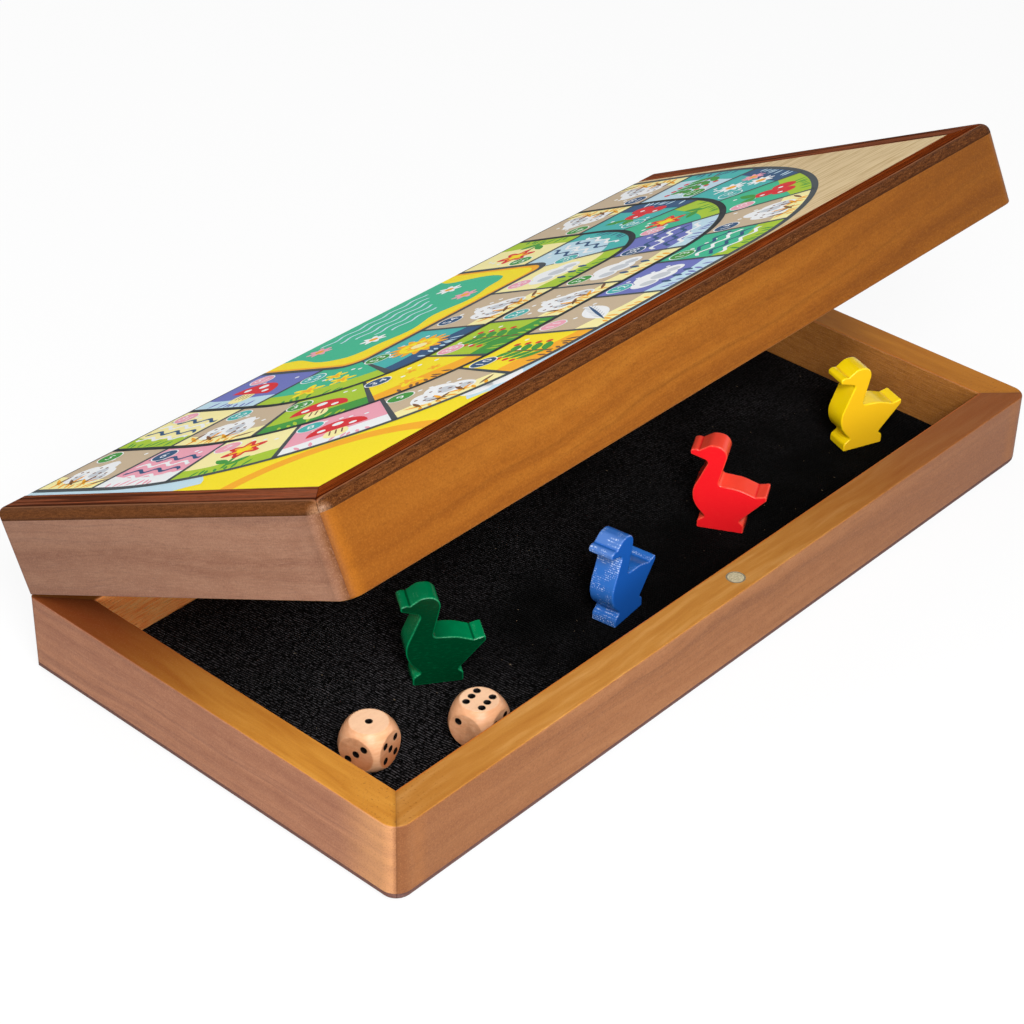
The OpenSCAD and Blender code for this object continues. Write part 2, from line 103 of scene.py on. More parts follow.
class Finish:
    """One procedural material, or the world's, and the few ways in which its nodes are added."""

    def __init__(self, name, store=bpy.data.materials):
        self.owner = store.new(name)
        self.owner.use_nodes = True
        self.tree = self.owner.node_tree
        self.tree.nodes.clear()

    def node(self, kind, settings=None, inputs=None, output=0):
        """Adds a shader node, sets its settings first, then its sockets by number or name, and returns one output."""
        made = self.tree.nodes.new("ShaderNode" + kind)
        for key, value in (settings or {}).items():
            if key == "stops":
                while len(made.color_ramp.elements) < len(value):
                    made.color_ramp.elements.new(0.5)
                for element, (position, color) in zip(made.color_ramp.elements, value):
                    element.position, element.color = position, color
            else:
                setattr(made, key, value)
        for key, value in (inputs or {}).items():
            if isinstance(value, Socket):
                self.tree.links.new(value.link, made.inputs[key])
            else:
                made.inputs[key].default_value = value
        return Socket(self, made.outputs[output]) if len(made.outputs) else None

    def place(self, origin=(0, 0, 0), turn=(0, 0, 0)):
        """Object coordinates in millimetres, in a frame with that origin and turn."""
        sockets = {0: self.node("TexCoord", output=3), 1: [c * MM for c in origin], 2: turn, 3: (MM,) * 3}
        return self.node("Mapping", {"vector_type": "TEXTURE"}, sockets)

    def tray(self, lid=False):
        """Object coordinates in millimetres; for the lid those it has when it lies like the base."""
        axis = (0, HINGE_Y, HINGE_Z)
        if not lid:
            return self.place()
        return self.node("Mapping", {}, {0: self.place(axis, (-LID_OPEN, 0, 0)), 1: axis, 3: (1, 1, -1)})

    def parts(self, vector):
        split = self.node("SeparateXYZ", {}, {0: vector}).link.node
        return [Socket(self, s) for s in split.outputs]

    def join(self, x, y, z):
        return self.node("CombineXYZ", {}, {0: x, 1: y, 2: z})

    def share(self, key):
        """A share of 0 to 1 that the mesh carries under a name."""
        return self.node("Attribute", {"attribute_name": key}, output=2)

    def noise(self, vector, scale, detail=3.0, rough=0.5):
        """Noise at a vector, or at three values that become one."""
        place = vector if isinstance(vector, Socket) else self.join(*vector)
        sockets = {"Vector": place, "Scale": scale, "Detail": detail, "Roughness": rough}
        return self.node("TexNoise", {}, sockets)

    def fade(self, value, low, high, start=0.0, end=1.0):
        """Smooth step from start at low to end at high."""
        sockets = {0: value, 1: low, 2: high, 3: start, 4: end}
        return self.node("MapRange", {"interpolation_type": "SMOOTHSTEP"}, sockets)

    def ramp(self, value, stops):
        return self.node("ValToRGB", {"stops": stops}, {0: value})

    def mix(self, share, a, b):
        return self.node("Mix", {"data_type": "RGBA"}, {0: share, 6: a, 7: b}, output=2)

    def layers(self, color, *rows):
        """Lays tones over a colour in turn, each by a smooth step of a value from low to high, times a share."""
        for value, low, high, share, tone in rows:
            color = self.mix(self.fade(value, low, high) * share, color, tone)
        return color

    def bump(self, height, depth):
        """Surface normal from a height of 0 to 1 that stands for that depth in millimetres."""
        return self.node("Bump", {}, {"Height": height, "Strength": 1.0, "Distance": depth * MM})

    def surface(self, color, roughness, normal=None, **fixed):
        sockets = {"Base Color": color, "Roughness": roughness}
        sockets.update({key.replace("_", " "): value for key, value in fixed.items()})
        if normal is not None:
            sockets["Normal"] = normal
        shader = self.node("BsdfPrincipled", {}, sockets)
        self.node("OutputMaterial", {}, {"Surface": shader})
        return self.owner

    def seen(self):
        """1 for rays of the camera, of mirrors and of glass, and 0 for other light."""
        path = self.node("LightPath").link.node
        rays = [Socket(self, path.outputs[f"Is {kind} Ray"]) for kind in ("Camera", "Glossy", "Transmission")]
        return (rays[0] + rays[1] + rays[2]).math("MINIMUM", 1.0)


def case_wood(name, lid, wall, seed, tones, corner, gold, inside):
    """Lacquered alder of one wall: slow bands of three tones, soft darker streaks that drift, fine wavy lines, pores
    and a grain of specks; the front and hinge walls darken towards their left ends and take painted shade towards their
    right ends. Near its mitre it takes the corner's tones, each strongest at its own distance: the darker ones darken
    the wood near the joint, the lighter ones are a painted highlight on the rounded corner. Its inner face is warmer,
    and on the hinge wall lighter, as painted light; its rim is golden, with a painted highlight along its inner edge,
    and painted shade turns it browner away from the near corner."""
    f = Finish(name)
    x, y, z = f.parts(f.tray(lid))
    lengthwise = wall in ("front", "hinge")
    run, across = (x, y) if lengthwise else (y, x)
    side, front = CASE_L / 2 - abs(x), y + CASE_W / 2
    back = CASE_W - front
    rear_mitre = abs(side - back * (WALL_T / HINGE_WALL_T))
    mitre = rear_mitre if wall == "hinge" else abs(side - front)
    joint = mitre if lengthwise else mitre.math("MINIMUM", rear_mitre)
    edge = {"front": front, "hinge": back}.get(wall, side)
    thick = HINGE_WALL_T if wall == "hinge" else WALL_T
    deep = z + across * 0.31 + seed
    drift = f.noise((run * 0.012, deep * 0.05, seed), 1, 2)
    grain = f.join(run * 0.014 + seed, deep + run * 0.03 + drift * 13, across * 0.7)
    bands = f.noise(grain, 0.11, 3, 0.55)
    streaks = f.noise(grain, 0.3, 3, 0.6)
    lines = f.noise((run * 0.05 + seed, deep * 1.5 + drift * 16, across * 0.9), 1, 3, 0.6)
    fibre = f.noise((run * 0.2, deep * 2.6, across * 2.6), 1, 4, 0.65)
    cloud = f.noise((run * 0.1, deep * 0.2, across * 0.2), 1, 3, 0.6)
    speckle = f.noise((x, y, z), 2.3, 2, 0.6)
    pores = f.fade(f.noise((run * 0.35, deep * 3.2, across * 3.2), 1, 2, 0.5), 0.62, 0.72)
    color = f.ramp(bands, [(0.34, tones[0]), (0.5, tones[1]), (0.68, tones[2])])
    color = f.layers(
        color,
        (streaks, 0.5, 0.75, 0.45, tones[3]),
        (lines, 0.54, 0.7, 0.25, tones[3]),
        (fibre, 0.4, 0.7, 0.25, tones[4]),
        (cloud, 0.4, 0.7, 0.3, tones[0]),
    )
    # Painted shade darkens the front and hinge walls towards their right ends; they also darken towards their left
    # ends.
    if lengthwise:
        color = f.mix(f.fade(x, 20, 150) * 0.5, color, tones[5])
        color = f.mix(f.fade(x, -150, -50, 0.6, 0), color, tones[0])
    # The corner's tones: the lighter ones are a painted highlight on the rounded corner, the darker ones darken the
    # wood near the joint.
    for tone, share, middle, reach in corner:
        near = f.fade(abs(mitre - middle) + cloud * 1.6 - 0.8, 0, reach, share, 0)
        color = f.mix(near * f.fade(streaks, 0.3, 0.7, 1, 0.7), color, tone)
    # The inner face; on the hinge wall its tones are lighter, as painted light.
    within = f.fade(edge, thick - 0.45, thick - 0.1)
    warm = f.ramp(lines * 0.4 + fibre * 0.6, [(0.38, inside[0]), (0.5, inside[1]), (0.62, inside[2])])
    color = f.mix(within, color, warm)
    color = f.mix(pores * 0.3, color, tones[3])
    rim = f.fade(z, HALF_H - 0.22, HALF_H - 0.05)
    rays = f.noise((run * 0.03 + seed, across * 0.3 + drift * 3, 1), 1, 3, 0.6)
    golden = f.ramp(rays, [(0.3, gold[0]), (0.5, gold[1]), (0.7, gold[2])])
    golden = f.mix(f.fade(cloud, 0.45, 0.7) * 0.25, golden, gold[0])
    # Painted shade on the rim: it turns to the fourth gold tone towards the right on the front wall, towards the back
    # on the side walls, and nearly all along the hinge wall.
    if wall == "front":
        shade = f.fade(x, -30, 140, 0, 0.74)
    elif wall == "hinge":
        shade = f.fade(x, 50, 140, 0.7, 0.85)
    else:
        shade = f.fade(y, -40, 56) * (0.92 if wall == "left" else 0.35)
    golden = f.mix(shade, golden, gold[3])
    if wall == "front":
        golden = f.mix(f.fade(x, -140, -90, 0.35, 0), golden, srgb(150, 92, 28))
    dots = f.fade(f.noise((x, y, z), 1.3, 1), 0.62, 0.72) * f.fade(mitre, 4, 26, 0.45, 0.06)
    golden = f.mix(dots, golden, srgb(112, 64, 22))
    # Painted highlight along the rim's inner edge, strongest on the front wall.
    rim_edge_highlight = 0.5 if wall == "front" else 0.15
    golden = f.mix(f.fade(abs(edge - thick + 0.5), 0.15, 0.5, rim_edge_highlight, 0), golden, srgb(206, 96, 30))
    color = f.mix(rim * 0.94, color, golden)
    seam = f.fade(joint, 0.1, 0.4, 0.3, 0) + f.fade(joint, 0.3, 1.8, 0.26, 0)
    color = f.mix(seam * f.fade(edge, 3, 5, 1, 0.6), color, srgb(84, 46, 24))
    calm = f.fade(rim, 0, 1, 1, 0.35)
    color = f.mix(f.fade(speckle, 0.5, 0.74) * calm * 0.34, color, tones[3])
    color = f.mix(f.fade(speckle, 0.5, 0.28) * calm * 0.26, color, tones[4])
    rough = f.fade(fibre, 0.3, 0.8, 0.34, 0.48)
    normal = f.bump(fibre * 0.5 + pores * -0.5 + speckle * 0.4, 0.03)
    return f.surface(color, rough, normal, Specular_IOR_Level=0.06, Coat_Weight=0.02, Coat_Roughness=0.25)


def frame_wood(name, lid, along, seed):
    """Rosewood strip: dark and orange stripes along its length, and on the side strips a paler tan that is painted
    sheen;
    its rounded outer edge is stained, speckled with painted glints and glossier, has a painted highlight line along its
    top and, on the lid, a painted highlight at the near corner."""
    f = Finish(name)
    x, y, z = f.parts(f.tray(lid))
    run, across = (x, y) if along == "x" else (y, x)
    side, front = CASE_L / 2 - abs(x), y + CASE_W / 2
    edge = front if along == "x" else side
    drift = f.noise((run * 0.02, across * 0.1, seed), 1, 2)
    stripe = f.noise((run * 0.008 + seed, across + drift * 2.4 + run * 0.004, z * 0.8), 0.6, 5, 0.68)
    fibre = f.noise((run * 0.14, across * 5, z * 5), 1, 3, 0.6)
    speckle = f.noise((x, y, z), 2.6, 3, 0.65)
    smear = f.noise((run * 0.35, z * 2, edge * 2), 1, 3, 0.6)
    stripes = palette(
        (24, 9, 4), (96, 36, 13), (176, 82, 32), (40, 15, 8), (146, 62, 22), (30, 11, 6), (108, 44, 17)
    )
    ink = srgb(28, 11, 6)
    color = f.ramp(stripe, list(zip((0.34, 0.42, 0.47, 0.51, 0.56, 0.61, 0.68), stripes)))
    color = f.mix(f.fade(fibre, 0.45, 0.7) * 0.4, color, stripes[0])
    stains = (srgb(58, 28, 10), srgb(106, 61, 27)) if along == "x" else (srgb(86, 47, 18), srgb(112, 65, 29))
    stain = f.mix(f.fade(speckle * 0.5 + smear * 0.5, 0.36, 0.64), *stains)
    # Pale specks on the stain: painted glints, most on the front strip.
    stain = f.mix(f.fade(speckle, 0.62, 0.74) * (0.3 if along == "x" else 0.1), stain, srgb(186, 140, 100))
    round_edge = f.fade(edge, 2, 3, 1, 0)
    if along == "y":
        bands = f.noise((run * 0.01 + seed, across * 0.5 + drift * 1.2, 0), 1, 2)
        # Paler tan over the side strips: painted sheen.
        color = f.mix(f.fade(smear, 0.2, 0.8, 0.24, 0.46), color, srgb(160, 104, 79))
        color = f.mix(f.fade(bands, 0.48, 0.58) * 0.7, color, srgb(52, 23, 14))
    if not lid:
        stain = f.mix(f.fade(smear, 0.2, 0.8, 0.4, 0.7), stain, srgb(128, 98, 96))
    color = f.mix(round_edge, color, stain)
    color = f.mix(f.fade(abs(edge - 3.1), 0.1, 0.5, 0.6, 0), color, ink)
    # Pale line along the top of the rounded edge: painted highlight.
    color = f.mix(f.fade(abs(edge - 2.4), 0.1, 0.45, 0.3, 0), color, srgb(176, 122, 82))
    crease = (0.5 if along == "x" else 0.45) if lid else 0.22
    color = f.mix(f.fade(z, 2.2, 3.2) * round_edge * crease, color, srgb(40, 19, 9))
    if lid:
        # Painted highlight on the rounded edge at the lid's front left corner.
        near = f.fade(x + CASE_L / 2 + front, 2.6, 5.6, 0.42, 0) * round_edge
        color = f.mix(near * f.fade(speckle, 0.35, 0.6, 0.4, 1), color, srgb(196, 152, 118))
    color = f.mix(f.fade(abs(side - front), 0.05, 0.25, 0.6, 0), color, ink)
    rough = f.fade(speckle, 0.3, 0.8, 0.3, 0.5)
    normal = f.bump(fibre + stripe + speckle, 0.03)
    return f.surface(color, rough, normal, Specular_IOR_Level=0, Coat_Weight=round_edge * 0.12, Coat_Roughness=0.22)


def felt_cloth(name, lid):
    """Black ribbed cloth: ribs along the depth of the tray, swaying and broken into short pale stitches, over a nap of
    specks; painted shade darkens it away from the left side, most of all in front, and it carries a little lint."""
    f = Finish(name)
    x, y, z = f.parts(f.tray(lid))
    sway = f.noise((x * 0.06, y * 0.06, 0), 1, 3, 0.6)
    count = x * 1.12 + y * 0.12 + sway * 3
    rib = (count * (2 * math.pi)).math("COSINE") * -0.5 + 0.5
    stitch = f.noise((count.math("FLOOR") * 5.7, y * 0.9, 0), 1, 2, 0.6)
    nap = f.noise((x, y, z), 1.6, 3, 0.7)
    patch = f.noise((x * 0.03, y * 0.03, 3), 1, 2)
    dash = f.fade(rib, 0.25, 0.8) * f.fade(stitch, 0.38, 0.6)
    black = srgb(1, 1, 1)
    color = f.mix(dash * f.fade(nap, 0.36, 0.62, 0.3, 1), black, srgb(84, 81, 84))
    color = f.mix(f.fade(nap, 0.58, 0.76) * 0.2, color, srgb(84, 80, 83))
    # Painted shade: darker away from the left side, most of all towards the front.
    dark = f.fade(x, -110, -20) * f.fade(y, -32, 6, 0.9, 0.45)
    color = f.mix(f.fade(patch, 0.4, 0.7) * 0.3 + dark, color, black)
    lint = f.fade(f.noise((x * 1.1, y * 0.6, 8), 1, 0), 0.865, 0.885)
    color = f.mix(lint * 0.6, color, srgb(140, 122, 98))
    normal = f.bump(rib * 0.6 + dash + nap * 0.7, 0.2)
    return f.surface(color, 0.95, normal, Specular_IOR_Level=0.02, Sheen_Weight=0.01, Sheen_Roughness=0.5)


def goose_paint(name, place, face, edge, pale, glint_share, shade):
    """Satin paint over wood in the figure's own frame: darker on the flat faces than round the outline, as painted
    shade on the faces and painted light round the outline; brush lines across the figure; rows of small pale painted
    glints and a faint painted sheen where it is turned forward; a painted highlight along the upper edges; and painted
    shade in the creases behind the beak and before the tail and, by the share of shade, on the back near the neck."""
    f = Finish(name)
    left, front, turn = place
    spot = f.place((left, front, FELT_TOP), (0, 0, math.radians(turn)))
    x, y, z = f.parts(spot)
    coat = f.noise(spot, 0.22, 3)
    grain = f.noise((x * 0.5, y * 0.5, z * 2.6), 1, 4, 0.65)
    patch = f.noise(spot, 0.26, 2)
    fleck = f.noise(spot, 1.8, 3, 0.65)
    row = z * (1 / 0.62) + grain * 0.5
    dots = f.noise((x * 2.8, y * 2.8, row.math("FLOOR") * 3.1), 1, 2, 0.6)
    rows = f.fade((row * (2 * math.pi)).math("SINE"), -0.2, 0.7) * f.fade(dots, 0.46, 0.64)
    band, rub, wear = (f.share(key) for key in ("band", "rub", "wear"))
    # Flat faces take the darker face colour, painted shade; the outline takes the edge colour.
    color = f.mix(band * f.fade(coat, 0.2, 0.6, 0.8, 1), face, edge)
    color = f.mix(f.fade(grain, 0.5, 0.75) * 0.15, color, edge)
    # Painted glints in rows, and a faint painted sheen higher up, where the figure turns forward.
    glint = rows * f.fade(patch, 0.4, 0.6) + f.fade(z, 19, 26, 0.02, 0.11)
    color = f.mix(rub * glint * glint_share, color, pale)
    # Painted highlight halfway round the upper edges.
    color = f.mix(wear * f.fade(fleck, 0.42, 0.64) * 0.5, color, pale)
    # Painted shade in the creases behind the beak and before the tail.
    for across, above in (BROW, TAIL_CREASE):
        line = f.fade(abs(x - across + fleck * 0.3 - 0.15), 0.1, 0.55, 0.75, 0)
        color = f.mix(line * f.fade(z, above - 0.8, above - 0.3) * band, color, face)
    # Painted shadow of the neck on the back.
    if shade:
        above, near = z - GOOSE_BACK_H, f.fade(x + fleck * 3, -1, 11, shade, 0.1 * shade)
        level = f.fade(above, -1.9, -0.9) * f.fade(above, 0.9, 3.5, 1, 0)
        color = f.mix(near * f.fade(x, -3, -1.5) * level * band, color, face)
    rough = f.fade(fleck, 0.3, 0.75, 0.14, 0.26)
    return f.surface(color, rough, f.bump(grain * 0.7 + fleck * 0.6, 0.06), Specular_IOR_Level=0.2)


def die_birch():
    """Lacquered birch with fine short grain along one way; the top flat is lighter, as painted light, and the flats
    below the top carry painted shade that makes them browner than the rounded edges, most towards the bottom and on the
    left die, and are smudged. Black varnish in the pips."""
    f = Finish("die_birch")
    place = f.tray()
    x, y, z = f.parts(place)
    rings = f.noise((x * 0.16, y * 0.5, z * 1.1), 1, 4, 0.6)
    fibre = f.noise((x * 0.8, y * 3, z * 6), 1, 3, 0.65)
    smudge = f.noise(place, 0.24, 4, 0.65)
    pip, flat = f.share("pip"), f.share("flat")
    # Painted shade on the flats below the top, deepest towards the bottom and on the left die.
    lower = flat * f.fade(z, DIE_TOP - 1.6, DIE_TOP - 0.2, 1, 0)
    brown = f.fade(z, FELT_TOP + 1, DIE_TOP - 2, 0.7, 0.2) * f.fade(x, *BETWEEN_DICE, 1.3, 0.6)
    color = f.ramp(rings, [(0.32, srgb(228, 165, 119)), (0.52, srgb(238, 181, 138)), (0.7, srgb(246, 196, 155))])
    # Painted light on the top flat.
    color = f.mix(flat * f.fade(z, DIE_TOP - 1, DIE_TOP - 0.2, 0, 0.6), color, srgb(255, 216, 180))
    color = f.mix(f.fade(flat, 0, 0.5, 0.4, 0), color, srgb(218, 152, 108))
    color = f.mix(lower * brown, color, srgb(200, 112, 60))
    color = f.mix(f.fade(fibre, 0.52, 0.74) * 0.25, color, srgb(212, 148, 102))
    color = f.mix(f.fade(smudge, 0.44, 0.7) * lower * 0.3, color, srgb(150, 86, 46))
    color = f.mix(pip, color, srgb(13, 11, 11))
    rough = f.fade(pip, 0, 1, 0.34, 0.24) + f.fade(fibre, 0.4, 0.8, 0, 0.08)
    return f.surface(color, rough, f.bump(fibre, 0.015), Specular_IOR_Level=0.25)


def printed_varnish(name, lid):
    """Printed board under satin varnish: the ink of each face, a faint unevenness of the ink, and pale wood grain where
    it is bare."""
    f = Finish(name)
    x, y, z = f.parts(f.tray(lid))
    ink = f.node("Attribute", {"attribute_name": "ink"})
    bare = f.share("bare")
    grain = f.noise((x * 0.05, y + x * 0.05, z), 0.8, 4, 0.6)
    speck = f.noise((x, y, z), 1.6, 3, 0.7)
    wood = f.mix(f.fade(grain, 0.42, 0.68), srgb(226, 200, 154), srgb(196, 164, 112))
    color = f.mix(bare, ink, wood)
    color = f.mix(f.fade(speck, 0.4, 0.75) * 0.05, color, srgb(120, 110, 100))
    rough = f.fade(speck, 0.3, 0.8, 0.4, 0.52)
    return f.surface(color, rough, f.bump(speck, 0.006), Specular_IOR_Level=0.02)


def panel_core(name, lid):
    """Sawn edge of the printed panel: thin plies with short fibres."""
    f = Finish(name)
    x, y, z = f.parts(f.tray(lid))
    ply = (z * (2 * math.pi / 1.1)).math("SINE") * 0.5 + 0.5
    fibre = f.noise((x * 0.6, y * 0.6, z * 4), 1, 4, 0.65)
    color = f.mix(f.fade(ply, 0.3, 0.7), srgb(190, 150, 104), srgb(150, 108, 68))
    color = f.mix(f.fade(fibre, 0.45, 0.75) * 0.5, color, srgb(112, 76, 44))
    return f.surface(color, f.fade(fibre, 0.3, 0.8, 0.6, 0.8), f.bump(fibre, 0.05))


def metal(name, lid, dull, bright, shine, disc=False):
    """Satin metal: scratched along one way, with duller blotches; a disc magnet also has a dark seam near its edge."""
    f = Finish(name)
    x, y, z = f.parts(f.tray(lid))
    scratch = f.noise((x * 0.7, y * 6, z * 6), 1, 3, 0.6)
    blotch = f.noise((x, y, z), 0.7 + disc * 0.8, 4, 0.65)
    color = f.mix(f.fade(blotch, 0.35, 0.7), bright, dull)
    rough = f.fade(scratch, 0.3, 0.75, 0.22, 0.42)
    if disc:
        off = y + CASE_W / 2 - WALL_T / 2
        radius = (x * x + off * off).math("SQRT")
        color = f.mix(f.fade(abs(radius - 2.75), 0.1, 0.35, 1, 0) * 0.7, color, srgb(84, 80, 74))
    return f.surface(color, rough, f.bump(scratch + blotch, 0.01), Metallic=shine)


def dress(node, material):
    """Puts a material on a CAD node, whose mesh stays as it is."""
    mesh = nodes[node].data
    mesh.materials.clear()
    mesh.materials.append(material)


def add_piece(name, points, faces, body, material, stands_for=(), normals=None, flat=False):
    """Makes a mesh of points in millimetres, in the rest frame, and lets it ride on its body."""
    mesh = bpy.data.meshes.new(name)
    mesh.from_pydata((points * MM).tolist(), [], faces)
    mesh.polygons.foreach_set("use_smooth", np.full(len(mesh.polygons), not flat))
    if normals is not None:
        mesh.normals_split_custom_set_from_vertices(normals.tolist())
    mesh.materials.append(material)
    piece = bpy.data.objects.new(name, mesh)
    bpy.context.scene.collection.objects.link(piece)
    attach(piece, body)
    if stands_for:
        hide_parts(*stands_for)
    return piece


def set_shares(piece, **shares):
    """Gives a piece's points shares of 0 to 1, each under its name."""
    for key, share in shares.items():
        piece.data.attributes.new(key, "FLOAT", "POINT").data.foreach_set("value", share.astype(np.float32))


def grid_faces(rows, columns, closed=False):
    """Quads of a grid of points, row by row, joined round its columns where closed."""
    i = np.arange(rows - 1)[:, None]
    j = np.arange(columns if closed else columns - 1)[None]
    here, right = i * columns + j, i * columns + (j + 1) % columns
    return np.stack([here, right, right + columns, here + columns], -1).reshape(-1, 4)


def rounded_outline(corners, step=4.0):
    """Closed outline through corners of x, height and radius: at each corner an arc tangent to both of its edges, in
    steps of about that many degrees. Returns the points, counter-clockwise, and their outward normals."""
    corners = np.array(corners, float)
    points, normals = [], []
    for here, before, after in zip(corners, np.roll(corners, 1, 0), np.roll(corners, -1, 0)):
        b, r = here[:2], here[2]
        to_a, to_c = before[:2] - b, after[:2] - b
        to_a, to_c = to_a / np.linalg.norm(to_a), to_c / np.linalg.norm(to_c)
        half = math.acos(to_a @ to_c) / 2
        middle = to_a + to_c
        centre = b + middle / np.linalg.norm(middle) * r / math.sin(half)
        start, end = b + to_a * r / math.tan(half) - centre, b + to_c * r / math.tan(half) - centre
        sweep = math.copysign(math.pi - 2 * half, start[0] * end[1] - start[1] * end[0])
        steps = max(3, round(abs(math.degrees(sweep)) / step))
        turn = math.atan2(start[1], start[0]) + sweep * np.linspace(0, 1, steps + 1)
        ray = np.stack([np.cos(turn), np.sin(turn)], -1)
        points.append(centre + r * ray)
        normals.append(ray * math.copysign(1, sweep))
    points, normals = np.concatenate(points), np.concatenate(normals)
    x, y = points.T
    turning = math.copysign(1, np.sum(x * np.roll(y, -1) - np.roll(x, -1) * y))
    return points[:: int(turning)], (normals * turning)[:: int(turning)]


def plate(corners, low, high, edge, steps=6):
    """Plate over an outline with rounded edges: a quarter round at each face, carried along the outline, and two flat
    caps. Returns points as outline x, outline y and height, the faces and the normals."""
    outline, out = rounded_outline(corners)
    lift = np.linspace(0, math.pi / 2, steps)
    side = np.concatenate([np.sin(lift), np.sin(lift[::-1])])
    upward = np.concatenate([-np.cos(lift), np.cos(lift[::-1])])
    height = np.repeat([low + edge, high - edge], steps) + edge * upward
    rows, columns = len(side), len(outline)

    def stack(flat, upright):
        column = np.broadcast_to(upright[:, None, None], (rows, columns, 1))
        return np.concatenate([flat, column], -1).reshape(-1, 3)

    aside = side[:, None, None] * out[None]
    points = stack(outline[None] - edge * (out[None] - aside), height)
    normals = stack(aside, upward)
    faces = grid_faces(rows, columns, True).tolist()
    faces += [list(range(columns))[::-1], list(range((rows - 1) * columns, rows * columns))]
    return points, faces, normals


# Goose figures: the source's outline, beak to the left, as x, height and corner radius
GOOSE = [
    (-7.55, 0, 0.6), (-7.55, 2.9, 1.6), (-5.15, 4.5, 0.6), (-11, 11.1, 8.5), (-5.1, 25.4, 1.2), (-11.1, 27.3, 0.6),
    (-11.1, 28.9, 0.9), (-9.6, 29.5, 1.5), (*BROW, 0.3), (-5.1, 31.5, 3), (1.5, 31.5, 3.6), (-1.7, 17, 1.2),
    (5.3, GOOSE_BACK_H, 12), (*TAIL_CREASE, 0.3), (14.1, 15.5, 0.6), (14.1, 13.7, 0.6), (5.95, 4.5, 0.6),
    (7.55, 3.1, 1.2), (7.55, 0, 0.6),
]


def add_goose(color, place, face, edge, pale, glint_share, shade=0.0):
    """A goose figure: the outline's plate stood upright, turned about the upright axis and set on the cloth. Its band
    is the share by which each point faces along the outline, its share of painted glints that by which it is turned
    forward, and its painted edge highlight is greatest halfway round the edges that look up."""
    points, faces, normals = plate(GOOSE, -GOOSE_T / 2, GOOSE_T / 2, GOOSE_EDGE)
    x, y, turn = place
    c, s = math.cos(math.radians(turn)), math.sin(math.radians(turn))
    spin = np.array([[c, -s, 0], [s, c, 0], [0, 0, 1]])
    stand = spin @ np.array([[1, 0, 0], [0, 0, -1], [0, 1, 0]])
    node = "goose_" + color
    paint = goose_paint(node + "_paint", place, face, edge, pale, glint_share, shade)
    points = points @ stand.T + np.array([x, y, FELT_TOP])
    piece = add_piece(node + "_figure", points, faces, node, paint, [node], normals @ stand.T)
    # Shares of the painted glints where the figure turns forward and of the painted highlight round its upper edges.
    forward = np.array([-0.86, 0.5, 0.0])
    rub = np.clip((normals @ forward - 0.3) / 0.5, 0, 1)
    band = np.hypot(normals[:, 0], normals[:, 1])
    wear = (4 * band * (1 - band)) ** 2 * np.clip(normals[:, 1] * 1.6 - 0.1, 0, 1)
    set_shares(piece, rub=rub, band=band, wear=wear)


# Quarter turns and their axis, which bring the top to the side with each number of pips
PIP_SIDES = {1: (0, "X"), 2: (-1, "X"), 3: (-1, "Y"), 4: (1, "Y"), 5: (1, "X"), 6: (2, "X")}


def pip_spots(number):
    """Places of a face's pips from its middle."""
    s, r = PIP_STEP, PIP_ROW_STEP
    pair, square = [(-s, s), (s, -s)], [(-s, -s), (-s, s), (s, -s), (s, s)]
    rows = [(x, y) for x in (-s, s) for y in (-r, 0, r)]
    return {1: [(0, 0)], 2: pair, 3: pair + [(0, 0)], 4: square, 5: square + [(0, 0)], 6: rows}[number]


def add_die(node, place, tip):
    """A die: on each side of a cube a grid of directions; the distance along each is the smooth lesser of the cube's
    and the ball's, and pips are ball-shaped hollows."""
    count = 97
    t = np.tan(np.linspace(-1, 1, count) * math.pi / 4)
    u, v = np.meshgrid(t, t)
    sheet = np.stack([u, v, np.ones_like(u)], -1).reshape(-1, 3)
    turns = [np.array(Matrix.Rotation(k * math.pi / 2, 3, axis)) for k, axis in PIP_SIDES.values()]
    ray = np.concatenate([sheet @ turn.T for turn in turns])
    ray /= np.linalg.norm(ray, axis=1)[:, None]
    flat, ball, soft = DIE_W / 2 / np.abs(ray).max(1), DIE_BALL_D / 2, 0.18
    blend = np.clip(0.5 + 0.5 * (ball - flat) / soft, 0, 1)
    points = ray * (ball * (1 - blend) + flat * blend - soft * blend * (1 - blend))[:, None]
    pip = np.zeros(len(points))
    radius, varnish_over, varnish_blur = (PIP_D**2 / 4 + PIP_DEPTH**2) / (2 * PIP_DEPTH), 0.08, 0.12
    for number, turn in zip(PIP_SIDES, turns):
        local = points @ turn
        for spot in pip_spots(number):
            away = np.hypot(local[:, 0] - spot[0], local[:, 1] - spot[1])
            sunk = np.sqrt(np.maximum(radius**2 - away**2, 0)) - (radius - PIP_DEPTH)
            here = (local[:, 2] > DIE_W * 0.4) & (away < PIP_D / 2 + 0.3)
            points = points - np.where(here, np.maximum(sunk, 0), 0)[:, None] * turn[:, 2]
            black = np.clip((PIP_D / 2 + varnish_over - away) / varnish_blur + 0.5, 0, 1)
            pip = np.where(here, black, pip)
    faces = np.concatenate([grid_faces(count, count) + k * count * count for k in range(6)])
    x, y, turn = place
    spin = np.array(Matrix.Rotation(math.radians(turn), 3, "Z")) @ tip
    points = points @ spin.T + np.array([x, y, FELT_TOP + DIE_W / 2])
    piece = add_piece(node + "_cube", points, faces.tolist(), node, birch, [node])
    set_shares(piece, pip=pip, flat=blend)
    merged = bmesh.new()
    merged.from_mesh(piece.data)
    bmesh.ops.remove_doubles(merged, verts=merged.verts, dist=1e-6)
    bmesh.ops.recalc_face_normals(merged, faces=merged.faces)
    merged.to_mesh(piece.data)
    merged.free()


